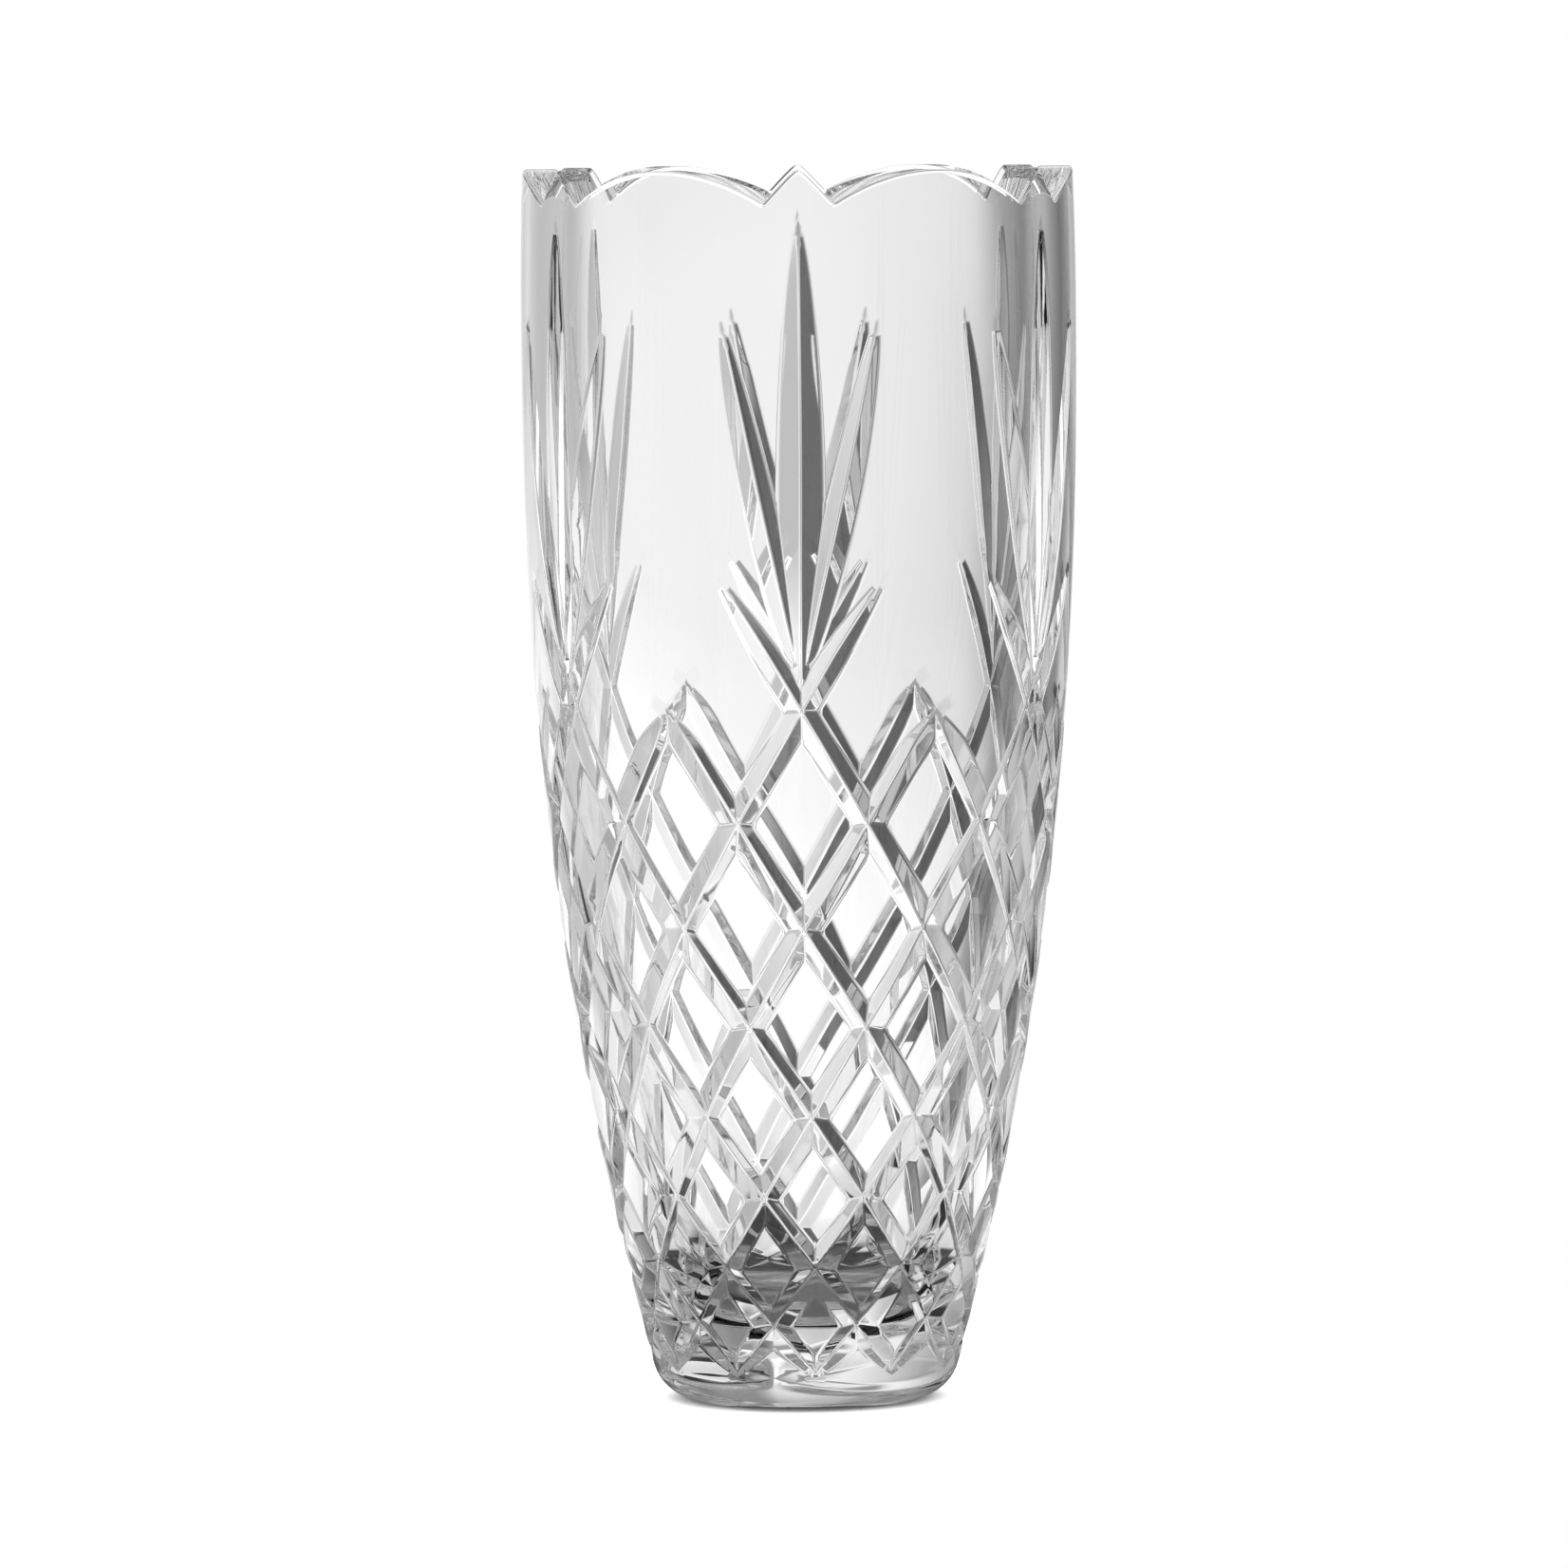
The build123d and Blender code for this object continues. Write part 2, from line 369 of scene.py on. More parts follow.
def drawn(x, y, keep):
    """Segments inside the twelfth along a line of points, where keep is true at both ends."""
    segments = []
    for i in range(len(x) - 1):
        if keep[i] and keep[i + 1]:
            segments += clipped((x[i], y[i]), (x[i + 1], y[i + 1]))
    return segments


def near_twelfth(x, margin):
    """The repeats of a line that come within a margin of the twelfth."""
    repeats = [x + PERIOD * repeat for repeat in REPEATS]
    return [r for r in repeats if r.max() >= -margin and r.min() <= SECTOR + margin]


def own_and_other_depth(index, x, y):
    """How deep one stroke would cut here, and how deep the deepest of the others would."""
    depths = sharp_depths(x, y)
    return depths[index], np.delete(depths, index, axis=0).max(axis=0)


def stroke_lines(index):
    """The lines that a stroke needs: its bottom, and beside its bottom and both its edges."""
    stroke = STROKES[index]
    cut = np.flatnonzero(stroke.half_width > 0)
    y = even_heights(OUTSIDE.y[cut[0]], OUTSIDE.y[cut[-1]])
    bottom, half_width, cos_lean = stroke.at(y)
    to_x = 1 / (cos_lean * scale_at(y))
    segments = []
    for middle in near_twelfth(bottom, LINE_MARGIN):
        for side in (-1, 1):
            x = middle + side * BOTTOM_ROUND * to_x
            own, others = own_and_other_depth(index, x, y)
            segments += drawn(x, y, (half_width > BOTTOM_ROUND + 2 * EDGE_ROUND) & (own > others))
            for away in (half_width - EDGE_ROUND, half_width + EDGE_ROUND):
                x = middle + side * away * to_x
                _, others = own_and_other_depth(index, x, y)
                segments += drawn(x, y, (others < SHALLOW) & (away > BOTTOM_ROUND + NARROW))
        own, others = own_and_other_depth(index, middle, y)
        segments += drawn(middle, y, (own >= others - SLIVER) & (half_width > NARROW))
    return segments


def ridge_lines():
    """The upright ridges between each two strokes that overlap side by side."""
    y = even_heights(RIDGE_FOOT_Y, OUTSIDE.y_at(SIDE_LEAF_TOP_Z))
    scale = scale_at(y)
    images = []
    for index, stroke in enumerate(STROKES):
        bottom, half_width, cos_lean = stroke.at(y)
        images += [(index, x, half_width, cos_lean) for x in near_twelfth(bottom, RIDGE_MARGIN)]
    segments = []
    for (i, x1, w1, c1), (j, x2, w2, c2) in combinations(images, 2):
        if i == j:
            continue
        sign = np.where(x1 > x2, -1.0, 1.0)
        x = (sign * (w1 - w2) / scale + c1 * x1 + c2 * x2) / (c1 + c2)
        between = (x > np.minimum(x1, x2)) & (x < np.maximum(x1, x2))
        depths = sharp_depths(x, y)
        here = np.minimum(depths[i], depths[j])
        keep = between & (here > SHALLOW) & (here > depths.max(axis=0) - SHALLOW)
        shift = BLEND / (2 * CUT_SLOPE * np.minimum(c1, c2) * scale)
        segments += drawn(x - shift, y, keep) + drawn(x + shift, y, keep)
    return segments


def crossing_lines():
    """The level ridges through each crossing of the diamond band."""
    line = next(stroke for stroke in STROKES if stroke.name == "long")
    order = np.argsort(line.x)
    segments = []
    for row in range(len(ROW_Z) - 1):
        # the height at which left and right cuts meet exactly on the row's upright line
        meeting_x = DRAW_R * radians(ROW_TURN * row)
        y = float(np.interp(meeting_x, line.x[order], OUTSIDE.y[order]))
        _, half_width, cos_lean = line.at(y)
        lean = sqrt(1 / cos_lean**2 - 1)
        reach = float(half_width / (cos_lean * scale_at(y)))
        shift = float(BLEND / (2 * CUT_SLOPE * cos_lean * lean * scale_at(y)))
        if row % 2:
            middles = [SECTOR / 2]
        else:
            middles = [0.0, SECTOR] if row else [0.0]
        for middle in middles:
            x = middle + np.linspace(-reach, reach, 2 * ROW_HALF_STEPS + 1)
            for level in (y - shift, y + shift):
                segments += drawn(x, np.full_like(x, level), np.ones(len(x), bool))
    return segments


# ---------------------------------------------------------------- the rim


def rim_drop(angle, radius):
    """How far the rim is below full height, at an angle from the tooth's tip."""
    rim_r = outer_radius(HEIGHT)
    tooth_slope = NOTCH_DEPTH / (rim_r * sin(radians(TOOTH_HALF_ANGLE)))
    chord = rim_r * sin(TWELFTH_ANGLE - radians(TOOTH_HALF_ANGLE))
    arch_r = (chord**2 + NOTCH_DEPTH**2) / (2 * NOTCH_DEPTH)
    tooth_x = radius * np.sin(angle)
    arch_x = radius * np.sin(TWELFTH_ANGLE - angle)
    tooth = tooth_slope * (np.sqrt(tooth_x**2 + TIP_SOFTNESS**2) - TIP_SOFTNESS)
    arch = arch_r - np.sqrt(np.clip(arch_r**2 - arch_x**2, 0, None))
    return -smooth_max(-tooth, -arch, NOTCH_SOFTNESS)


def notch_angle(radius):
    """The angle of the bottom of the notch at this radius."""
    angles = np.linspace(*NOTCH_SEARCH, NOTCH_SAMPLES)
    return angles[np.argmax(rim_drop(angles, radius))]


def rim_stations():
    """Angles at the outer radius where the rim is sampled, closer at the tip and the notch."""
    r = float(outer_radius(HEIGHT))
    notch = notch_angle(r)
    fine = np.linspace(0, TWELFTH_ANGLE, RIM_SAMPLES)
    to_corner = np.minimum(fine, np.abs(fine - notch)) * r
    spacing = np.clip(RIM_NEAR_STEP + RIM_STEP_GROWTH * to_corner, RIM_NEAR_STEP, RIM_FAR_STEP)
    count = np.concatenate([[0], np.cumsum(np.diff(fine) * r / spacing[1:])])
    n = int(round(count[-1]))
    stations = np.interp(np.linspace(0, count[-1], n + 1), count, fine)
    stations[np.argmin(np.abs(stations - notch))] = notch
    return stations, notch


STATIONS, NOTCH = rim_stations()


def rim_row(radius, inset):
    """The rim at a radius, set in below its edge.

    Gives the angle and height at each station, and the way down into the glass there as its parts
    along the rim and downwards.
    """
    notch = notch_angle(radius)
    before = STATIONS * notch / NOTCH
    after = TWELFTH_ANGLE - (TWELFTH_ANGLE - STATIONS) * (TWELFTH_ANGLE - notch) / (TWELFTH_ANGLE - NOTCH)
    angle = np.where(STATIONS < NOTCH, before, after)
    ahead = rim_drop(angle + RIM_SLOPE_STEP, radius)
    behind = rim_drop(angle - RIM_SLOPE_STEP, radius)
    slope = -(ahead - behind) / (2 * RIM_SLOPE_STEP * radius)
    slope[0] = slope[-1] = 0.0
    across, down = slope / np.hypot(1, slope), 1 / np.hypot(1, slope)
    z = HEIGHT - rim_drop(angle, radius) - inset * down
    return angle + inset * across / radius, z, across, down


# ---------------------------------------------------------------- mesh of a twelfth


def triangulate(points, segments, border, top):
    """Triangles over the drawing: border is a closed loop of points, and segments are kept."""
    coords, index = [], {}

    def number_of(point):
        key = (round(point[0], 4), round(point[1], 4))
        if key not in index:
            index[key] = len(coords)
            coords.append((float(point[0]), float(point[1])))
        return index[key]

    loop = [number_of(point) for point in border]
    pairs = list(zip(loop, loop[1:] + loop[:1]))
    pairs += [(number_of(a), number_of(b)) for a, b in segments]
    edges = [(a, b) for a, b in pairs if a != b]
    for point in points:
        number_of(point)
    flat_points = [Vector(c) for c in coords]
    verts, _, faces, origin, _, _ = delaunay_2d_cdt(flat_points, edges, [], 1, WELD, True)
    out = np.array([(v.x, v.y) for v in verts])
    place = {}
    for i, sources in enumerate(origin):
        if sources:
            out[i] = coords[sources[0]]
            for source in sources:
                place[source] = i
    out[:, 0] = snapped(out[:, 0])
    top_x, top_y = np.array(top).T
    kept = []
    for face in faces:
        x, y = out[list(face)].T
        on_side = np.all(x == 0.0) or np.all(x == SECTOR)
        if y.mean() < np.interp(x.mean(), top_x, top_y) and not on_side:
            kept.append(tuple(face))
    return out, kept, [place[i] for i in loop]


def snapped(x):
    """The x of each point, exactly on a side of the twelfth where it is very close to it."""
    x = np.where(np.abs(x) < SNAP, 0.0, x)
    return np.where(np.abs(x - SECTOR) < SNAP, SECTOR, x)


def side_points(top_y, step, x):
    """Even points up a side of the twelfth, without its two ends."""
    return [(x, float(y)) for y in np.linspace(0, top_y, int(top_y / step))[1:-1]]


def hex_points(low, high, step):
    """An even triangular grid over the twelfth between two drawing heights."""
    rows = max(int(round((high - low) / (step * sqrt(3) / 2))), 2)
    columns = int(round(SECTOR / step))
    points = []
    for j in range(rows + 1):
        y = low + (high - low) * j / rows
        shift = 0.5 if j % 2 else 0.0
        for i in range(columns + 1):
            x = (i + shift) * SECTOR / columns
            if x <= SECTOR + TINY:
                points.append((x, y))
    return np.array(points)


def clear_grid(low, high, step, top, gap, side_gap):
    """Grid points that are clear of the rim, the foot and the twelfth's sides."""
    points = hex_points(low, high, step)
    x, y = points.T
    top_x, top_y = np.array(top).T
    below_rim = y < np.interp(x, top_x, top_y) - gap
    return points[below_rim & (y > gap) & (x > side_gap) & (x < SECTOR - side_gap)]


def far_from(points, others, gap):
    """Those points that are more than gap from all the others."""
    keep = np.ones(len(points), bool)
    for start in range(0, len(points), BLOCK):
        apart = points[start:start + BLOCK, None] - others[None]
        keep[start:start + BLOCK] = np.hypot(apart[..., 0], apart[..., 1]).min(axis=1) > gap
    return points[keep]


def rim_line(profile, angle, z):
    """The rim's edge on the drawing, with its ends exactly on the twelfth's sides."""
    line = list(zip(DRAW_R * angle, profile.y_at(z)))
    line[0] = (0.0, line[0][1])
    line[-1] = (SECTOR, line[-1][1])
    return line


def triangulated_wall(points, segments, top, side_step):
    """Triangles up to the rim line, with the vertices along the rim and along the foot."""
    foot = [(SECTOR * i / BASE_COLUMNS, 0.0) for i in range(BASE_COLUMNS + 1)]
    right = side_points(top[-1][1], side_step, SECTOR)
    left = side_points(top[0][1], side_step, 0.0)
    border = foot + right + top[::-1] + left[::-1]
    points, faces, loop = triangulate(points, segments, border, top)
    rim_start = len(foot) + len(right)
    rim = loop[rim_start:rim_start + len(top)][::-1]
    return points, faces, rim, loop[:len(foot)]


def outside_drawing():
    """The triangulated outside of a twelfth, its rim vertices and its foot vertices."""
    angle, z, _, _ = rim_row(float(outer_radius(HEIGHT)), RIM_ROUND)
    top = rim_line(OUTSIDE, angle, z)
    segments = ridge_lines() + crossing_lines()
    for i in range(len(STROKES)):
        segments += stroke_lines(i)
    high = float(OUTSIDE.y_at(HEIGHT))
    grid = clear_grid(GRID_STEP, high, GRID_STEP, top, GRID_GAP, GRID_SIDE_GAP)
    ends = np.array([point for segment in segments for point in segment])
    return triangulated_wall(far_from(grid, ends, GRID_GAP), segments, top, SIDE_STEP)


def inside_drawing(angle, z):
    """The triangulated inside of a twelfth, its rim vertices and its floor vertices."""
    top = rim_line(INSIDE, angle, z)
    high = float(INSIDE.y_at(HEIGHT))
    grid = clear_grid(0.0, high, INSIDE_STEP, top, INSIDE_GAP, INSIDE_SIDE_GAP)
    return triangulated_wall(grid, [], top, INSIDE_STEP)


class Twelfth:
    """The vertices and faces of a twelfth of the vase.

    x and y place a vertex on the drawing. fixed is None for a vertex of the cut outside, and
    radius, height and normal for the rest, which need only their x.
    """

    def __init__(self):
        self.x, self.y = [], []
        self.fixed = []
        self.faces = []

    def add_outside(self, points, faces):
        self.x += [float(p[0]) for p in points]
        self.y += [float(p[1]) for p in points]
        self.fixed += [None] * len(points)
        self.faces += faces

    def add_fixed(self, angle, radius, z, normal):
        """A vertex that is not on the cut surface. normal is (outward, along the angle, up)."""
        self.x.append(float(DRAW_R * angle))
        self.y.append(0.0)
        self.fixed.append((float(radius), float(z)) + tuple(float(n) for n in normal))
        return len(self.x) - 1

    def add_ring(self, radius, z, normal):
        """A row of vertices across the twelfth at one radius and height."""
        angles = [TWELFTH_ANGLE * i / BASE_COLUMNS for i in range(BASE_COLUMNS + 1)]
        return [self.add_fixed(angle, radius, z, normal) for angle in angles]

    def strip(self, a, b):
        """Faces between two rows of vertices. They face the viewer who sees a below b."""
        for j in range(len(a) - 1):
            self.faces.append((a[j], a[j + 1], b[j + 1], b[j]))


def add_rim(part, outer_row):
    """The rounded edges and flat top of the rim. Returns its last row."""
    outer_r, inner_r = float(outer_radius(HEIGHT)), float(inner_radius(HEIGHT))
    path = [(outer_r - RIM_ROUND * (1 - cos(radians(t))), radians(t)) for t in (30, 60, 90)]
    path += [(inner_r + RIM_ROUND * (1 + cos(radians(t))), radians(t)) for t in (90, 120, 150)]
    previous = outer_row
    for radius, t in path:
        angle, z, across, down = rim_row(radius, RIM_ROUND * (1 - sin(t)))
        row = []
        for j in range(len(STATIONS)):
            normal = (cos(t), -sin(t) * across[j], sin(t) * down[j])
            row.append(part.add_fixed(angle[j], radius, z[j], normal))
        part.strip(previous, row)
        previous = row
    return previous


def add_inside(part, last_rim_row):
    """The inside wall and floor. Returns the vertex in the middle of the floor."""
    rim_angle, rim_z, _, _ = rim_row(float(inner_radius(HEIGHT)), RIM_ROUND)
    points, faces, rim, foot = inside_drawing(rim_angle, rim_z)
    start = len(part.x)
    for x, y in points:
        r, z, nr, nz = INSIDE.at(y)
        part.add_fixed(x / DRAW_R, r, z, (-nr, 0.0, -nz))
    part.faces += [tuple(start + i for i in face[::-1]) for face in faces]
    part.strip(last_rim_row, [start + i for i in rim])
    previous = [start + i for i in foot]
    for share in FLOOR_SHARES:
        row = part.add_ring(INSIDE.floor_r * share, FLOOR_Z, (0, 0, 1))
        part.strip(previous, row)
        previous = row
    centre = part.add_fixed(0.0, 0.0, FLOOR_Z, (0, 0, 1))
    part.faces += [(previous[j], previous[j + 1], centre) for j in range(BASE_COLUMNS)]
    return centre


def add_underside(part, foot_row):
    """The flat foot ring and the dish in it. Returns the vertex in the middle of the dish."""
    dish_r = (RECESS_R**2 + RECESS_DEPTH**2) / (2 * RECESS_DEPTH)
    rings = [(RECESS_R + RECESS_EDGE, 0.0, 0.0)]
    for share in DISH_SHARES:
        r = share * RECESS_R
        rings.append((r, RECESS_DEPTH - dish_r + sqrt(dish_r**2 - r * r), r / dish_r))
    previous = foot_row
    for radius, z, tilt in rings:
        row = part.add_ring(radius, z, (-tilt, 0.0, -sqrt(1 - tilt * tilt)))
        part.strip(row, previous)
        previous = row
    centre = part.add_fixed(0.0, 0.0, RECESS_DEPTH, (0, 0, -1))
    part.faces += [(previous[j + 1], previous[j], centre) for j in range(BASE_COLUMNS)]
    return centre


def build_twelfth():
    """The whole twelfth, and its two vertices that are on the vase's axis."""
    part = Twelfth()
    points, faces, rim, foot = outside_drawing()
    part.add_outside(points, faces)
    last_rim_row = add_rim(part, rim)
    centres = [add_inside(part, last_rim_row), add_underside(part, foot)]
    return part, centres


# ---------------------------------------------------------------- the whole vase


def drift(z):
    """The angle by which the diamond band is turned at height z."""
    share = np.clip((DRIFT_FROM_Z - z) / DRIFT_FROM_Z, 0, 1)
    return np.radians(DRIFT) * np.sin(share * pi / 2)


def hand_wobble(x, y):
    """Small uneven shifts of the cuts, as a hand makes them: none at the rim or the foot."""
    rng = np.random.default_rng(WOBBLE_SEED)
    top = float(OUTSIDE.y_at(HEIGHT))
    window = np.sin(pi * np.clip(y / top, 0, 1))
    shift_x, shift_y = np.zeros_like(x), np.zeros_like(y)
    for repeats in WOBBLE_REPEATS:
        for shift in (shift_x, shift_y):
            wave = rng.uniform(*WOBBLE_WAVES)
            phase = rng.uniform(0, 2 * pi)
            shift += WOBBLE * np.sin(repeats * x / DRAW_R + wave * y + phase)
    return x + window * shift_x, y + window * shift_y


def around(angle, outward, along, up):
    """Vectors with these parts at an angle round the vase from its front."""
    s, c = np.sin(angle), np.cos(angle)
    return np.stack([outward * s + along * c, -outward * c + along * s, up], axis=1)


def outside_surface(x, y):
    """Points of the cut outside of the vase."""
    cut = depth(x, y)
    moved_x, moved_y = hand_wobble(x, y)
    r, z, nr, nz = OUTSIDE.at(moved_y)
    return around(moved_x / DRAW_R + drift(z), r - cut * nr, 0.0, z - cut * nz)


def outside_normals(x, y):
    """Unit normals of the cut outside of the vase."""
    along = outside_surface(x + NORMAL_STEP, y) - outside_surface(x - NORMAL_STEP, y)
    up = outside_surface(x, y + NORMAL_STEP) - outside_surface(x, y - NORMAL_STEP)
    normals = np.cross(along, up)
    return normals / np.linalg.norm(normals, axis=1, keepdims=True)


def numbered_copies(x, centres):
    """The vase's vertex number for each vertex of each copy of the twelfth.

    Odd copies are mirrored. A vertex on a side is shared with the copy beside it, and the centres
    are shared by all. Also gives the copy and the place in the twelfth that each number comes from.
    """
    numbers = np.zeros((COPIES, len(x)), int)
    sources = []
    count = 0
    for copy in range(COPIES):
        shared = np.zeros(len(x), bool)
        if copy:
            shared = x == (SECTOR if copy % 2 else 0.0)
            numbers[copy, shared] = numbers[copy - 1, shared]
            numbers[copy, centres] = numbers[0, centres]
        if copy == COPIES - 1:
            closing = (x == 0.0) & ~shared
            numbers[copy, closing] = numbers[0, closing]
            shared |= closing
        if copy:
            shared[centres] = True
        own = np.flatnonzero(~shared)
        numbers[copy, own] = np.arange(count, count + len(own))
        count += len(own)
        sources.append([np.full(len(own), copy), own])
    copy_of, place_of = np.concatenate(sources, axis=1)
    return numbers, copy_of, place_of


def copied_faces(faces, numbers):
    """The faces of all the copies, without those that shrink to nothing at a shared vertex."""
    copied = []
    for copy in range(COPIES):
        for face in faces:
            corners = tuple(int(numbers[copy, i]) for i in (face[::-1] if copy % 2 else face))
            if len(set(corners)) == len(corners):
                copied.append(corners)
    return copied


def whole_vase():
    """Vertices, normals, depths of cut and faces of the closed vase, in millimetres."""
    part, centres = build_twelfth()
    sector_x = snapped(np.array(part.x))
    numbers, copy, place = numbered_copies(sector_x, centres)
    mirrored = copy % 2 == 1
    x = np.where(mirrored, -1.0, 1.0) * sector_x[place] + PERIOD * ((copy + 1) // 2)
    y = np.array(part.y)[place]
    is_cut = np.array([fixed is None for fixed in part.fixed])[place]
    points, normals = np.zeros((len(x), 3)), np.zeros((len(x), 3))
    cut = np.zeros(len(x))
    points[is_cut] = outside_surface(x[is_cut], y[is_cut])
    normals[is_cut] = outside_normals(x[is_cut], y[is_cut])
    cut[is_cut] = depth(x[is_cut], y[is_cut])
    plain = ~is_cut
    r, z, out, along, up = np.array([part.fixed[i] for i in place[plain]]).T
    along = np.where(mirrored[plain], -along, along)
    underside = z < FLOOR_Z / 2
    angle = x[plain] / DRAW_R + np.where(underside, float(drift(0.0)), 0.0)
    points[plain] = around(angle, r, 0.0, z)
    normals[plain] = around(angle, out, along, up)
    return points, normals, cut, copied_faces(part.faces, numbers)


def without_unused(points, normals, cut, faces):
    """The same vase without the vertices that no face uses."""
    used = np.unique([i for face in faces for i in face])
    place = {int(old): new for new, old in enumerate(used)}
    return points[used], normals[used], cut[used], [tuple(place[i] for i in face) for face in faces]


def make_vase():
    """The vase as a Blender object, with its own normals and its depths of cut."""
    points, normals, cut, faces = without_unused(*whole_vase())
    mesh = bpy.data.meshes.new("crystal_vase")
    mesh.from_pydata((points * MM).tolist(), [], faces)
    mesh.update()
    mesh.shade_smooth()
    attribute = mesh.attributes.new("cut_depth", "FLOAT", "POINT")
    attribute.data.foreach_set("value", cut.astype(np.float32))
    mesh.normals_split_custom_set_from_vertices(normals.tolist())
    vase = bpy.data.objects.new("crystal_vase", mesh)
    bpy.context.scene.collection.objects.link(vase)
    return vase


# ---------------------------------------------------------------- node helpers


def node(tree, kind, place, **inputs):
    """A new node at a place in the tree, with inputs set by name, _ standing for a space."""
    n = tree.nodes.new(kind)
    n.location = place
    for name, value in inputs.items():
        n.inputs[name.replace("_", " ")].default_value = value
    return n


def feed(tree, socket, value):
    """Links another node's output to a socket, or sets the socket to a number."""
    if hasattr(value, "is_linked"):
        tree.links.new(value, socket)
    elif hasattr(socket.default_value, "__len__"):
        socket.default_value = (value, value, value, 1)
    else:
        socket.default_value = value


def calculated(tree, operation, place, *values):
    """The result of a sum on the values, each a socket or a number."""
    n = node(tree, "ShaderNodeMath", place)
    n.operation = operation
    for socket, value in zip(n.inputs, values):
        feed(tree, socket, value)
    return n.outputs[0]


def noise(tree, position, scale, place):
    """Smooth noise from 0 to 1."""
    n = node(tree, "ShaderNodeTexNoise", place, Scale=scale, Detail=1.0)
    tree.links.new(position, n.inputs["Vector"])
    return n.outputs["Fac"]


def value_range(tree, value, source, target, place):
    """The value, stretched from the source range to the target range."""
    n = node(tree, "ShaderNodeMapRange", place, From_Min=source[0], From_Max=source[1])
    n.inputs["To Min"].default_value, n.inputs["To Max"].default_value = target
    tree.links.new(value, n.inputs["Value"])
    return n.outputs["Result"]


def mixed_values(tree, share, first, second, place):
    """The first value where share is 0, and the second where it is 1."""
    n = node(tree, "ShaderNodeMix", place)
    for socket, value in zip(n.inputs[:1] + n.inputs[2:4], (share, first, second)):
        feed(tree, socket, value)
    return n.outputs[0]


def mixed_greys(tree, share, first, second, place):
    """The first colour where share is 0, and the second where it is 1."""
    n = node(tree, "ShaderNodeMix", place)
    n.data_type = "RGBA"
    for socket, value in zip(n.inputs[:1] + n.inputs[6:8], (share, first, second)):
        feed(tree, socket, value)
    return n.outputs[2]


def ramp(tree, share, stops, place):
    """Greys that follow (position, brightness) stops as the share goes from 0 to 1."""
    n = node(tree, "ShaderNodeValToRGB", place)
    elements = n.color_ramp.elements
    while len(elements) < len(stops):
        elements.new(0.5)
    for element, (position, grey) in zip(elements, stops):
        element.position = position
        element.color = (grey, grey, grey, 1)
    tree.links.new(share, n.inputs[0])
    return n.outputs[0]


# ---------------------------------------------------------------- crystal

# noise scales are in cycles for each metre, and the ripple's height is in metres
CRYSTAL_IOR = 1.54
RIPPLE_SCALE = 38.0
RIPPLE_STRENGTH = 0.1
RIPPLE_HEIGHT = 0.0006
SMEAR_SCALE = 14.0
SMEAR_SPREAD = (0.5, 0.8)
WALL_ROUGHNESS = (0.0, 0.012)
GRIND_SCALE = 420.0
GRIND_SPREAD = (0.3, 0.7)
CUT_ROUGHNESS = (0.012, 0.04)
CUT_STARTS = (0.0, 0.4)  # depths of cut, in millimetres, over which wall turns to cut


def crystal_material():
    """Clear crystal: polished walls with faint smears, and cuts that are a touch softer."""
    mat = bpy.data.materials.new("clear_crystal")
    mat.use_nodes = True
    tree = mat.node_tree
    shader = tree.nodes["Principled BSDF"]
    shader.inputs["Transmission Weight"].default_value = 1.0
    shader.inputs["IOR"].default_value = CRYSTAL_IOR
    shader.inputs["Base Color"].default_value = (1.0, 1.0, 1.0, 1)
    cut = node(tree, "ShaderNodeAttribute", (-1100, 300))
    cut.attribute_name = "cut_depth"
    in_cut = value_range(tree, cut.outputs["Fac"], CUT_STARTS, (0.0, 1.0), (-900, 300))
    position = node(tree, "ShaderNodeTexCoord", (-1400, -200)).outputs["Object"]
    smear = noise(tree, position, SMEAR_SCALE, (-1100, 100))
    grind = noise(tree, position, GRIND_SCALE, (-1100, -150))
    ripple = noise(tree, position, RIPPLE_SCALE, (-1100, -400))
    on_wall = value_range(tree, smear, SMEAR_SPREAD, WALL_ROUGHNESS, (-900, 100))
    on_cut = value_range(tree, grind, GRIND_SPREAD, CUT_ROUGHNESS, (-900, -150))
    rough = mixed_values(tree, in_cut, on_wall, on_cut, (-600, 200))
    tree.links.new(rough, shader.inputs["Roughness"])
    wavy = node(tree, "ShaderNodeBump", (-600, -300), Strength=RIPPLE_STRENGTH, Distance=RIPPLE_HEIGHT)
    tree.links.new(ripple, wavy.inputs["Height"])
    tree.links.new(wavy.outputs["Normal"], shader.inputs["Normal"])
    return mat


# ---------------------------------------------------------------- floor

FLOOR_R = 0.25  # in metres
FLOOR_SIDES = 96
FLOOR_GAP = 0.00002  # keeps the floor off the foot's own face
FLOOR_ROUGHNESS = 0.8
FLOOR_SEEN = 0.93  # how pale it is where the camera sees it directly
# painted light and shade: how pale it is where it is seen through the glass, as (share of FLOOR_R, grey); the
# dark ring round the foot is painted shadow and the pale middle under the foot is painted light
FLOOR_PAINTED_SHADE = [(0.0, 0.85), (0.096, 0.85), (0.112, 0.1), (0.14, 0.0), (0.3, 0.0), (0.34, 0.3), (1.0, 0.4)]


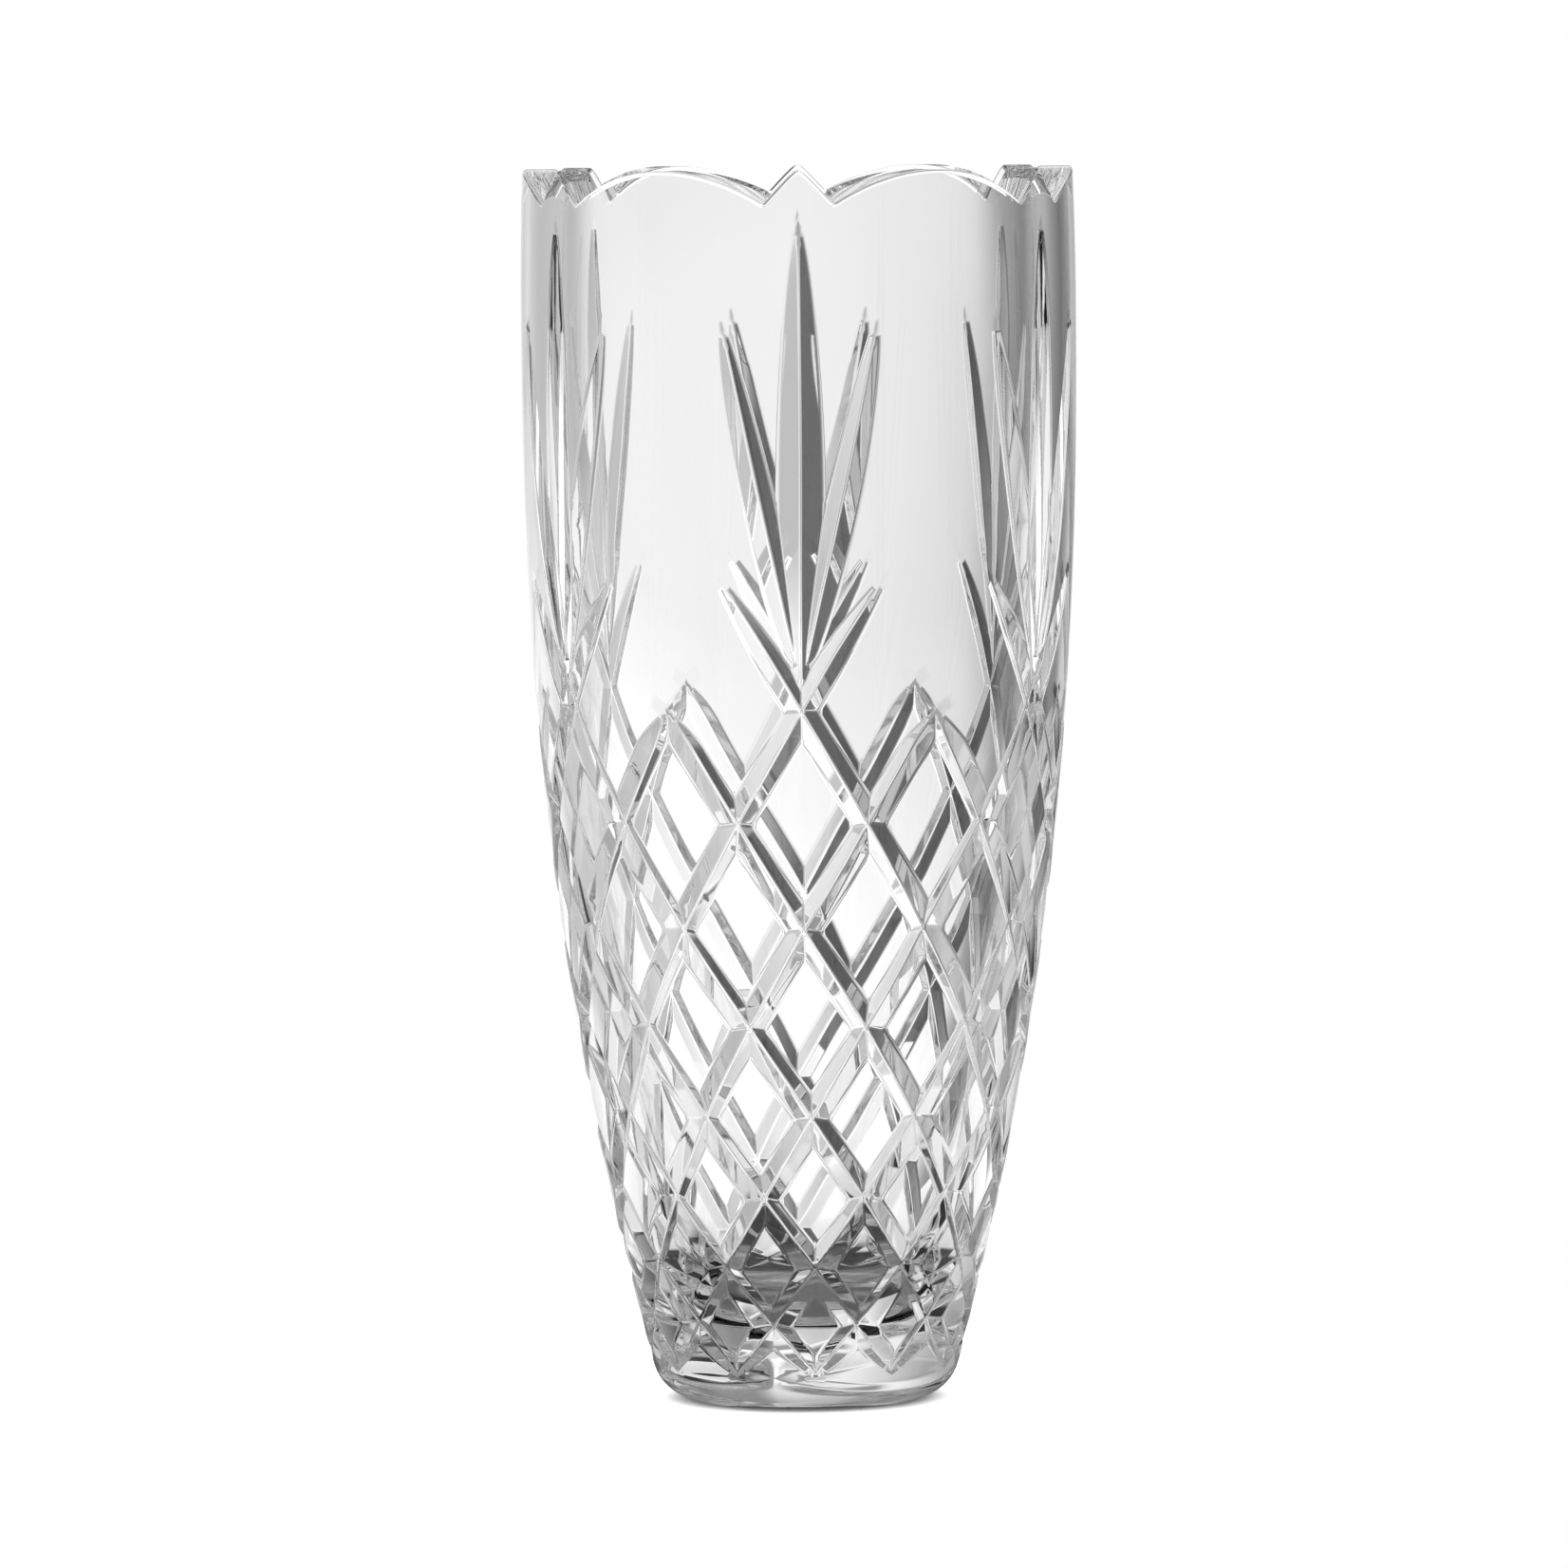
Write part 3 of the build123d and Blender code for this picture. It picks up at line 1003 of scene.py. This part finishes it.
def floor_material():
    """A pale matt board. Seen through the glass it has painted shade, a dark ring near the foot, and painted
    light right under the foot.
    """
    mat = bpy.data.materials.new("pale_floor")
    mat.use_nodes = True
    tree = mat.node_tree
    shader = tree.nodes["Principled BSDF"]
    shader.inputs["Roughness"].default_value = FLOOR_ROUGHNESS
    shader.inputs["Specular IOR Level"].default_value = 0.0
    position = node(tree, "ShaderNodeTexCoord", (-1100, 0))
    length = node(tree, "ShaderNodeVectorMath", (-900, 0))
    length.operation = "LENGTH"
    tree.links.new(position.outputs["Object"], length.inputs[0])
    share = calculated(tree, "DIVIDE", (-700, 0), length.outputs["Value"], FLOOR_R)
    # painted shade and painted light on the floor, for rays that come through the glass
    painted_shade = ramp(tree, share, FLOOR_PAINTED_SHADE, (-500, 0))
    path = node(tree, "ShaderNodeLightPath", (-500, 300))
    colour = mixed_greys(tree, path.outputs["Is Camera Ray"], painted_shade, FLOOR_SEEN, (-200, 100))
    tree.links.new(colour, shader.inputs["Base Color"])
    return mat


def make_floor():
    """A round board that the vase stands on."""
    bpy.ops.mesh.primitive_circle_add(
        vertices=FLOOR_SIDES, radius=FLOOR_R, fill_type="NGON", location=(0, 0, -FLOOR_GAP)
    )
    floor = bpy.context.object
    floor.name = "floor"
    floor.data.materials.append(floor_material())


# ---------------------------------------------------------------- light

# (angle, brightness) round the camera's upright axis: 0 is straight ahead, and right is positive
AROUND = [(-180, 0.3), (-100, 0.6), (-42, 0.55), (-26, 0.45), (-18, 0.6), (-12, 0.92), (0, 0.93), (8, 0.75),
          (12, 0.3), (20, 0.03), (26, 0.05), (42, 0.45), (97, 0.6), (180, 0.3)]
ABOVE = [(-180, 0.55), (-97, 0.6), (-52, 0.35), (-30, 0.55), (-12, 1.0), (-9, 0.8), (-6, 0.3), (12, 0.35),
         (16, 0.1), (20, 0.02), (33, 0.02), (42, 0.25), (62, 0.7), (180, 0.7)]
TOP = [(-180, 0.6), (-97, 0.5), (-42, 0.45), (-30, 0.6), (-3, 1.05), (3, 1.2), (9, 1.1), (12, 0.6), (16, 0.3),
       (30, 0.35), (42, 0.1), (62, 0.5), (180, 0.6)]
BELOW = [(-180, 0.7), (-97, 0.95), (-42, 0.55), (-30, 0.65), (-18, 1.1), (-12, 1.35), (0, 1.25), (12, 1.0),
         (15, 0.35), (20, 0.05), (33, 0.04), (42, 0.5), (62, 0.65), (97, 0.15), (180, 0.65)]
OVERHEAD = 0.25

# (angle above the camera's level, share): where each band of light takes over from the last
RISE_TO_ABOVE = [(0, 0.0), (4, 0.0), (7, 1.0), (90, 1.0)]
RISE_TO_TOP = [(0, 0.0), (12, 0.0), (15, 1.0), (90, 1.0)]
RISE_TO_OVERHEAD = [(0, 0.0), (18, 0.0), (24, 0.35), (34, 0.55), (55, 1.0), (90, 1.0)]
FALL_TO_BELOW = [(-90, 1.0), (-3, 1.0), (0, 0.0), (90, 0.0)]

FLOOR_LIGHT = 3.0  # brightness of the studio where it lights the floor
BACKDROP = 1.0  # brightness where the camera sees it directly


def studio_light():
    """A plain studio round the camera's own axes.

    It is bright behind and below the vase, and has a dark card at the right and grey ones at the
    left. Above the vase a dim band comes first, then a soft bright one, and overhead is dim.
    """
    world = bpy.data.worlds.new("studio")
    bpy.context.scene.world = world
    world.use_nodes = True
    tree = world.node_tree
    coords = node(tree, "ShaderNodeTexCoord", (-1500, 0))
    split = node(tree, "ShaderNodeSeparateXYZ", (-1300, 0))
    tree.links.new(coords.outputs["Camera"], split.inputs[0])
    x, y, z = split.outputs
    azimuth = calculated(tree, "ARCTAN2", (-1100, 100), x, z)
    turn = calculated(tree, "MULTIPLY_ADD", (-900, 100), azimuth, 1 / (2 * pi), 0.5)
    elevation = calculated(tree, "ARCSINE", (-1100, -200), y)
    level = calculated(tree, "MULTIPLY_ADD", (-900, -200), elevation, 1 / pi, 0.5)

    def by_turn(stops, place):
        return ramp(tree, turn, [(0.5 + angle / 360, grey) for angle, grey in stops], place)

    def by_level(stops, place):
        return ramp(tree, level, [(0.5 + angle / 180, share) for angle, share in stops], place)

    light = by_turn(AROUND, (-700, 300))
    light = mixed_greys(
        tree, by_level(RISE_TO_ABOVE, (-700, -300)), light, by_turn(ABOVE, (-700, 100)), (-400, 200)
    )
    light = mixed_greys(
        tree, by_level(RISE_TO_TOP, (-700, -400)), light, by_turn(TOP, (-700, 500)), (-350, 150)
    )
    light = mixed_greys(tree, by_level(RISE_TO_OVERHEAD, (-700, -450)), light, OVERHEAD, (-320, 150))
    light = mixed_greys(
        tree, by_level(FALL_TO_BELOW, (-700, -500)), light, by_turn(BELOW, (-700, -100)), (-250, 100)
    )
    path = node(tree, "ShaderNodeLightPath", (-400, 500))
    light = mixed_greys(tree, path.outputs["Is Diffuse Ray"], light, FLOOR_LIGHT, (-100, 200))
    light = mixed_greys(tree, path.outputs["Is Camera Ray"], light, BACKDROP, (50, 200))
    tree.links.new(light, tree.nodes["Background"].inputs["Color"])


# ---------------------------------------------------------------- camera

# in metres, apart from the sensor, which is in millimetres as Blender has it
CAMERA_DISTANCE = 2.25
CAMERA_RISE = 0.278
CAMERA_SIDE = -0.0037
AIM_Z = 0.127
VIEW_WIDTH = 0.3228  # width of the picture at the vase
SENSOR_WIDTH = 36.0
FARTHEST = 50.0
ROLL = radians(-0.43)

BOUNCES = 32
MIRROR_BOUNCES = 16


def make_camera():
    """A camera in front of the vase and a little above it, looking at its middle."""
    data = bpy.data.cameras.new("camera")
    camera = bpy.data.objects.new("camera", data)
    bpy.context.scene.collection.objects.link(camera)
    data.sensor_width = SENSOR_WIDTH
    data.lens = SENSOR_WIDTH * CAMERA_DISTANCE / VIEW_WIDTH
    data.clip_end = FARTHEST
    camera.location = (CAMERA_SIDE, -CAMERA_DISTANCE, CAMERA_RISE)
    aim = Vector((CAMERA_SIDE, 0, AIM_Z)) - camera.location
    turned = aim.to_track_quat("-Z", "Y").to_matrix() @ Matrix.Rotation(ROLL, 3, "Z")
    camera.rotation_euler = turned.to_euler()
    bpy.context.scene.camera = camera


def light_paths():
    """Enough bounces for light to find its way through two walls and every cut."""
    scene = bpy.context.scene
    scene.view_settings.view_transform = "Standard"
    scene.cycles.max_bounces = BOUNCES
    scene.cycles.transmission_bounces = BOUNCES
    scene.cycles.glossy_bounces = MIRROR_BOUNCES
    scene.cycles.caustics_reflective = True
    scene.cycles.caustics_refractive = True


# ---------------------------------------------------------------- build

vase = make_vase()
vase.data.materials.append(crystal_material())
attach(vase, "root")
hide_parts("crystal_body")
make_floor()
studio_light()
make_camera()
light_paths()
